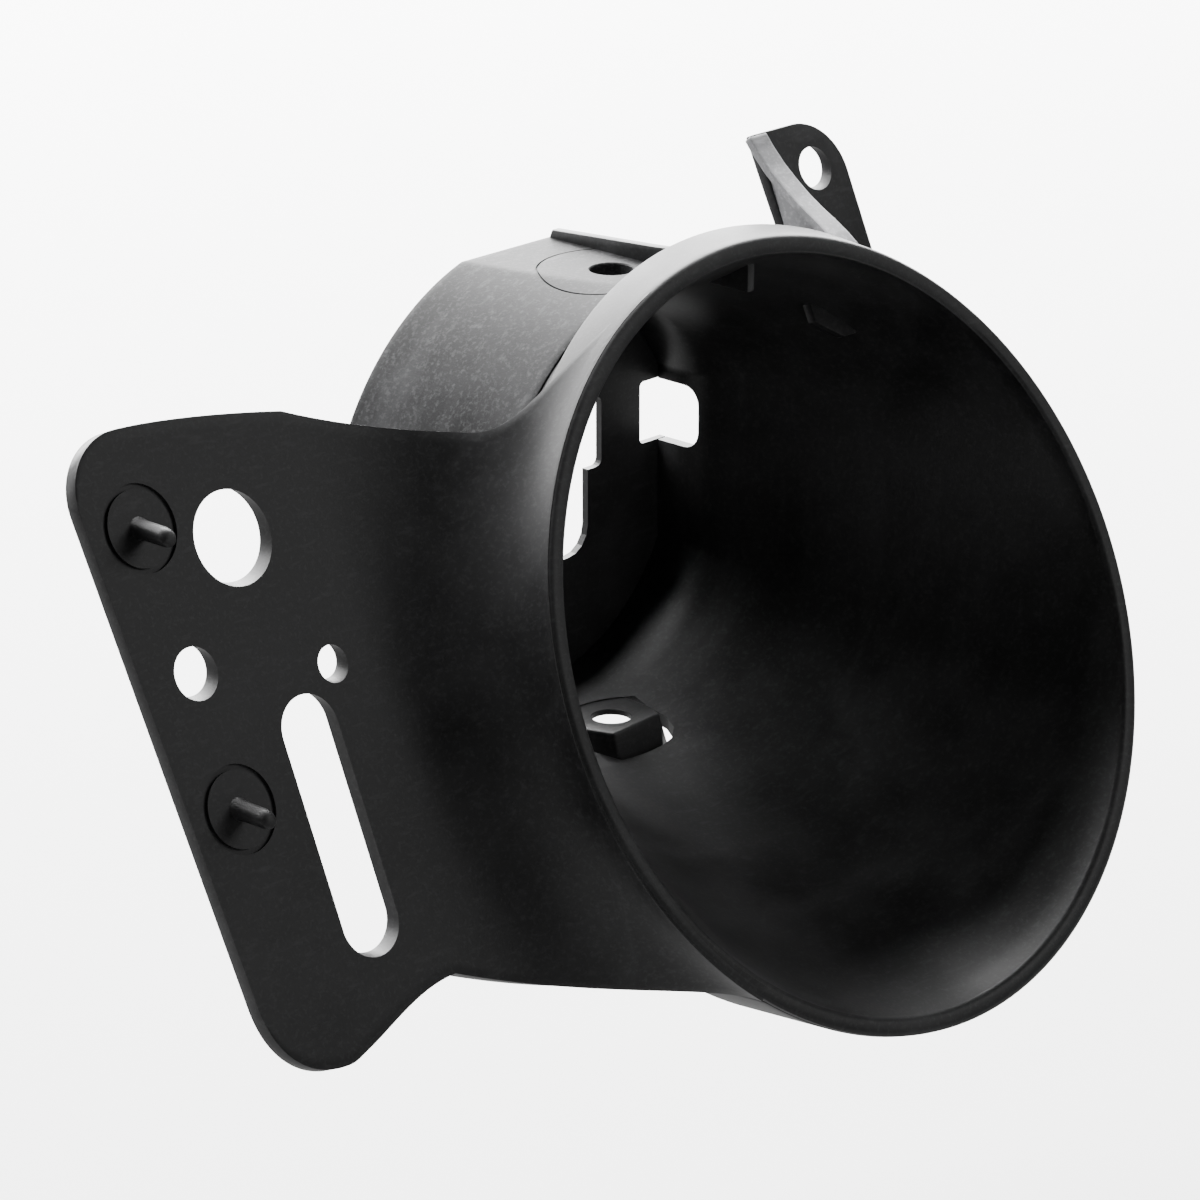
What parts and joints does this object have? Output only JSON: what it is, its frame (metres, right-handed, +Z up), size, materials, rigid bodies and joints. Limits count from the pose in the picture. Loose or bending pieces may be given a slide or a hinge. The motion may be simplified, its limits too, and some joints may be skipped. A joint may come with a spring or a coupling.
{
  "type": "raked lamp hood bracket",
  "caption": "Raked funnel-shaped moulded hood with a swept side mounting flange, a rear sleeve and an upper fixing ear.",
  "frame": {"origin": "middle of the side flange's rear fixing face", "axes": "+Z up, -Y is the way the funnel faces, +X is the side away from the flange; the flange leans back 24 degrees"},
  "size_m": [0.1799, 0.0936, 0.1189],
  "materials": {
    "hood_plastic": "matte black glass-filled nylon, finely mottled",
    "sleeve_plastic": "the same nylon, drier and a little greyer on the sleeve"
  },
  "bodies": {
    "root": {"funnel_hood": "hood_plastic", "under_skirt": "hood_plastic", "side_flange": "hood_plastic", "moulding_post_1": "hood_plastic", "moulding_post_2": "hood_plastic", "rear_shroud": "sleeve_plastic", "top_pad": "sleeve_plastic", "top_rib": "hood_plastic", "back_wall": "hood_plastic", "lower_hub": "hood_plastic", "fixing_ear": "hood_plastic", "ear_ramp": "hood_plastic", "ramp_web": "hood_plastic"}
  },
  "joints": []
}
